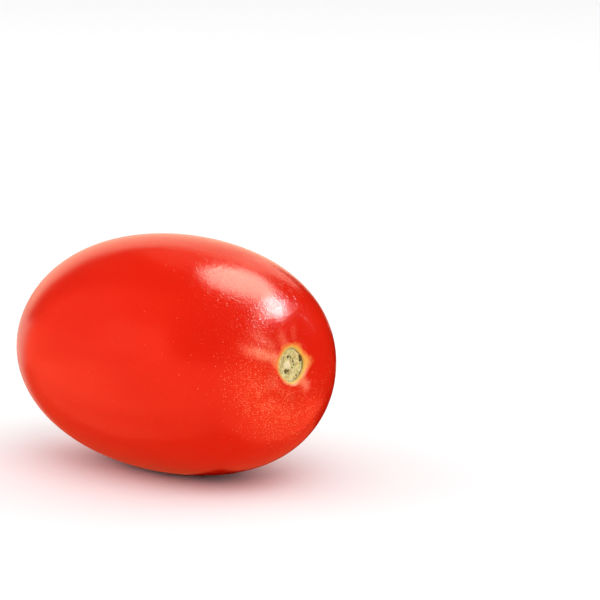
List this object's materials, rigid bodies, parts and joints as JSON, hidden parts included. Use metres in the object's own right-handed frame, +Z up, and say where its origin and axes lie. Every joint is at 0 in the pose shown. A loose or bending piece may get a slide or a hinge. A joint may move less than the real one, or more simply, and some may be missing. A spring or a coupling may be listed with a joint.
{
  "type": "plum tomato",
  "caption": "Ripe plum tomato picked without its stalk, egg-shaped, with a corky stem scar in a shallow dip and a small blossom scar, lying on its side on a small flat spot.",
  "frame": {"origin": "middle of the flat spot that the fruit lies on", "axes": "+X along the fruit towards its stem scar, -X towards the blossom scar, +Z up from the surface it lies on"},
  "size_m": [0.0754, 0.0483, 0.0488],
  "materials": {
    "tomato_skin": "taut waxy red skin with a soft gloss, a tan corky scar with a yellow ring at the stem"
  },
  "bodies": {
    "root": {"tomato": "tomato_skin"}
  },
  "joints": []
}
